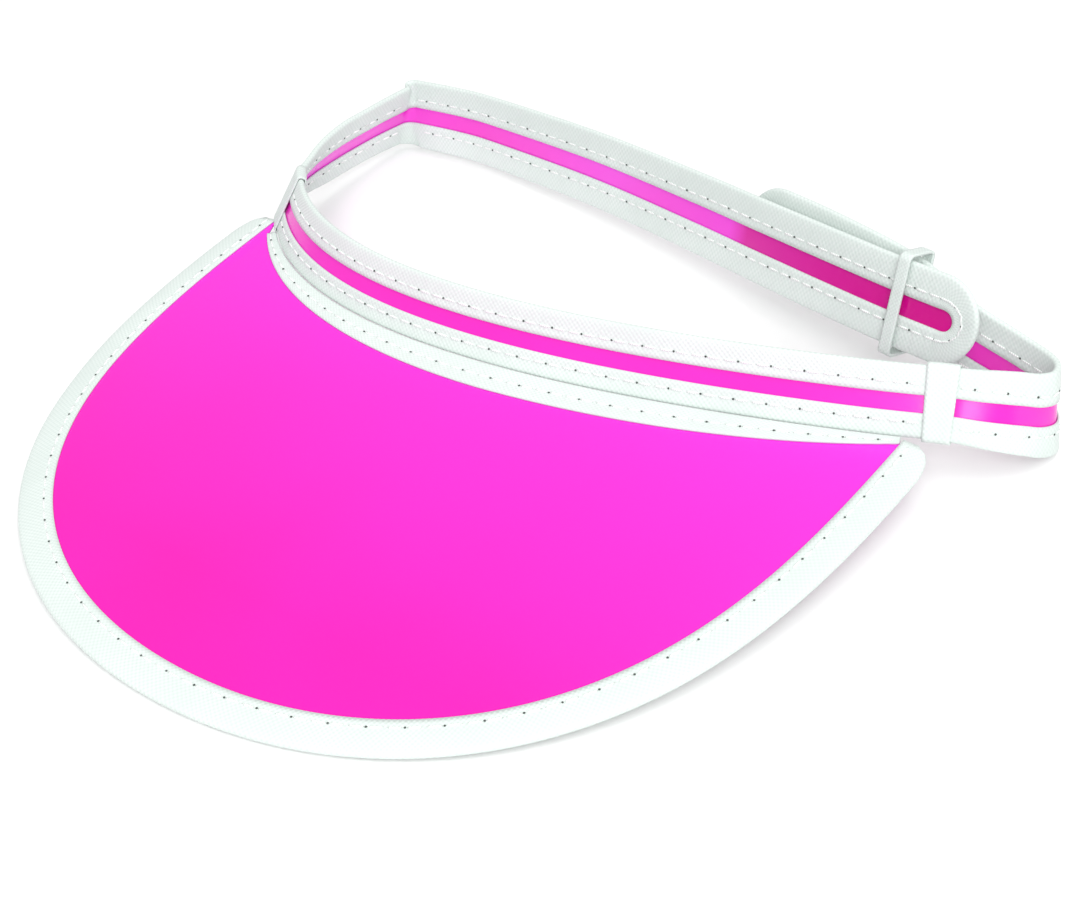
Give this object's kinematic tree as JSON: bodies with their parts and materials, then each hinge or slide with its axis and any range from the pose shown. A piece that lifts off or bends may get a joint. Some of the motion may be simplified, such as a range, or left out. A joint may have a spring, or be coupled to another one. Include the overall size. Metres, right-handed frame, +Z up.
{
  "type": "sun visor",
  "caption": "Open-crown sun visor with a translucent peak, a narrow bound head band, and straps that overlap at the back through a sliding keeper loop.",
  "frame": {"origin": "middle of the bottom of the part's box, on the surface it lies on", "axes": "+Z up, -Y to the front of the peak, +X to the side with the bent strap"},
  "size_m": [0.2178, 0.2016, 0.0334],
  "materials": {
    "peak_pvc": "clear tinted PVC sheet, smooth",
    "strap_pvc": "clear tinted PVC strip, smooth",
    "binding_tape": "woven polyester binding tape",
    "sewing_thread": "twisted polyester thread",
    "keeper_elastic": "narrow woven tape loop"
  },
  "bodies": {
    "visor": {"peak_panel": "peak_pvc", "peak_edge_binding": "binding_tape", "peak_edge_stitching": "sewing_thread", "peak_seam_binding": "binding_tape", "peak_seam_stitching": "sewing_thread", "front_band_strip": "strap_pvc", "front_band_upper_tape": "binding_tape", "front_band_lower_tape": "binding_tape", "front_band_upper_stitching": "sewing_thread", "front_band_lower_stitching": "sewing_thread", "left_cross_tape": "binding_tape", "right_cross_tape": "binding_tape", "right_outer_strip": "strap_pvc", "right_outer_edge_tape": "binding_tape", "right_outer_stitching": "sewing_thread"},
    "left_side": {"left_side_strip": "strap_pvc", "left_side_upper_tape": "binding_tape", "left_side_lower_tape": "binding_tape", "left_side_upper_stitching": "sewing_thread", "left_side_lower_stitching": "sewing_thread"},
    "rear_inner": {"rear_inner_strip": "strap_pvc", "rear_inner_edge_tape": "binding_tape", "rear_inner_stitching": "sewing_thread"},
    "keeper": {"keeper_loop": "keeper_elastic"}
  },
  "joints": [
    {"name": "left_join_bend", "type": "hinge", "parent": "visor", "child": "left_side", "pos_m": [-0.0962, 0.04096, 0.01651], "axis": [0, 0, 1], "range_deg": [-6, 6]},
    {"name": "crease_fold", "type": "hinge", "parent": "left_side", "child": "rear_inner", "pos_m": [-0.1058, 0.09766, 0.01131], "axis": [0, 0, 1], "range_deg": [-5.4, 5.4]},
    {"name": "keeper_slide", "type": "slide", "parent": "visor", "child": "keeper", "axis": [0.984, -0.1782, 0], "range_m": [-0.009, 0.002]}
  ],
  "couplings": [
    {"joint": "crease_fold", "follows": "left_join_bend", "ratio": -0.87}
  ]
}
